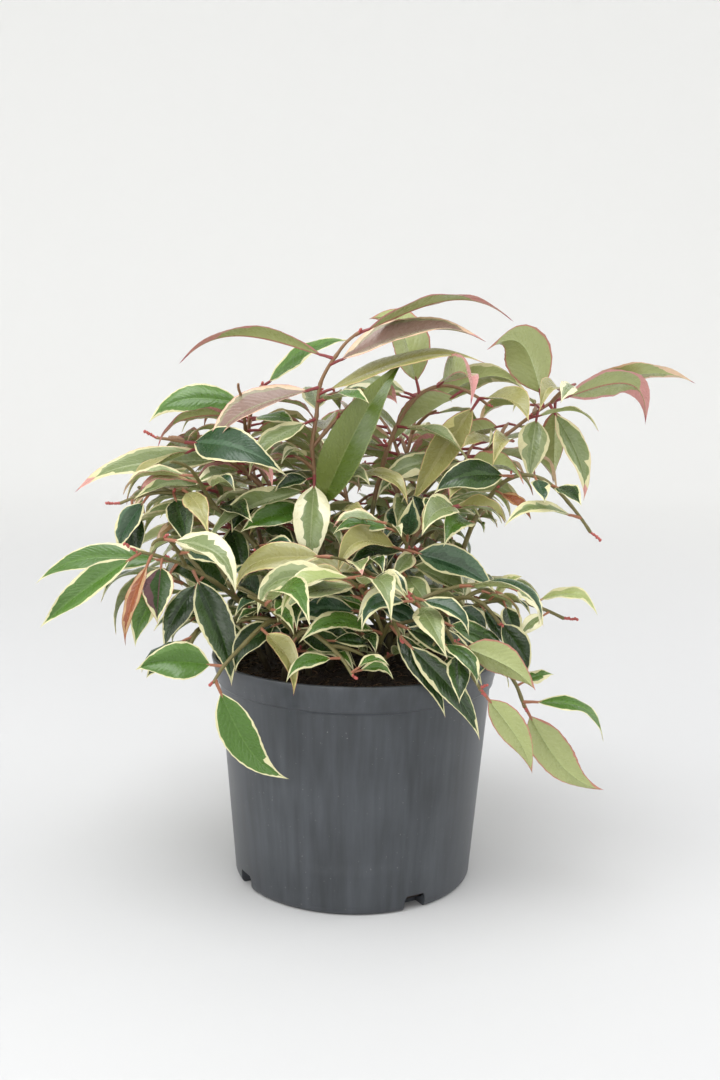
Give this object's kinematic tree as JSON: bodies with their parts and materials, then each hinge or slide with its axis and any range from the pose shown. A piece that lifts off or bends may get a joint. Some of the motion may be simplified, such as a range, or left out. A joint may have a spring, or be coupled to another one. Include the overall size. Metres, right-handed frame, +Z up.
{
  "type": "potted variegated shrub",
  "caption": "Low arching evergreen shrub with long pointed cream-edged leaves on red-brown stems, standing in a round nursery pot filled with compost.",
  "frame": {"origin": "centre of the pot's flat underside", "axes": "+Z up along the pot's axis, +X to the right, -Y towards the front of the plant"},
  "size_m": [0.343, 0.2764, 0.3116],
  "materials": {
    "pot": "anthracite moulded plastic, satin, with faint upright streaks",
    "soil": "dark fibrous compost",
    "bark": "thin red-brown to olive bark",
    "leaf": "leathery leaf, green marbled centre and cream margin"
  },
  "bodies": {
    "root": {"bough_arch": "bark", "bough_back_centre": "bark", "bough_back_left": "bark", "bough_back_low": "bark", "bough_back_low_left": "bark", "bough_back_right": "bark", "bough_back_skirt_left": "bark", "bough_back_skirt_right": "bark", "bough_centre": "bark", "bough_front_drape": "bark", "bough_front_left": "bark", "bough_front_low": "bark", "bough_front_short": "bark", "bough_inner": "bark", "bough_inner_back": "bark", "bough_inner_left": "bark", "bough_left_high": "bark", "bough_left_low": "bark", "bough_left_mid": "bark", "bough_left_skirt": "bark", "bough_left_tall": "bark", "bough_left_upright": "bark", "bough_right_bottom": "bark", "bough_right_droop": "bark", "bough_right_inner": "bark", "bough_right_low": "bark", "bough_right_mid": "bark", "bough_right_tall": "bark", "bough_upper_back": "bark", "foliage_arch": "leaf", "foliage_back_centre": "leaf", "foliage_back_left": "leaf", "foliage_back_low": "leaf", "foliage_back_low_left": "leaf", "foliage_back_right": "leaf", "foliage_back_skirt_left": "leaf", "foliage_back_skirt_right": "leaf", "foliage_centre": "leaf", "foliage_front_drape": "leaf", "foliage_front_left": "leaf", "foliage_front_low": "leaf", "foliage_front_short": "leaf", "foliage_inner": "leaf", "foliage_inner_back": "leaf", "foliage_inner_left": "leaf", "foliage_left_high": "leaf", "foliage_left_low": "leaf", "foliage_left_mid": "leaf", "foliage_left_skirt": "leaf", "foliage_left_tall": "leaf", "foliage_left_upright": "leaf", "foliage_right_bottom": "leaf", "foliage_right_droop": "leaf", "foliage_right_inner": "leaf", "foliage_right_low": "leaf", "foliage_right_mid": "leaf", "foliage_right_tall": "leaf", "foliage_upper_back": "leaf", "pot": "pot", "soil": "soil"}
  },
  "joints": []
}
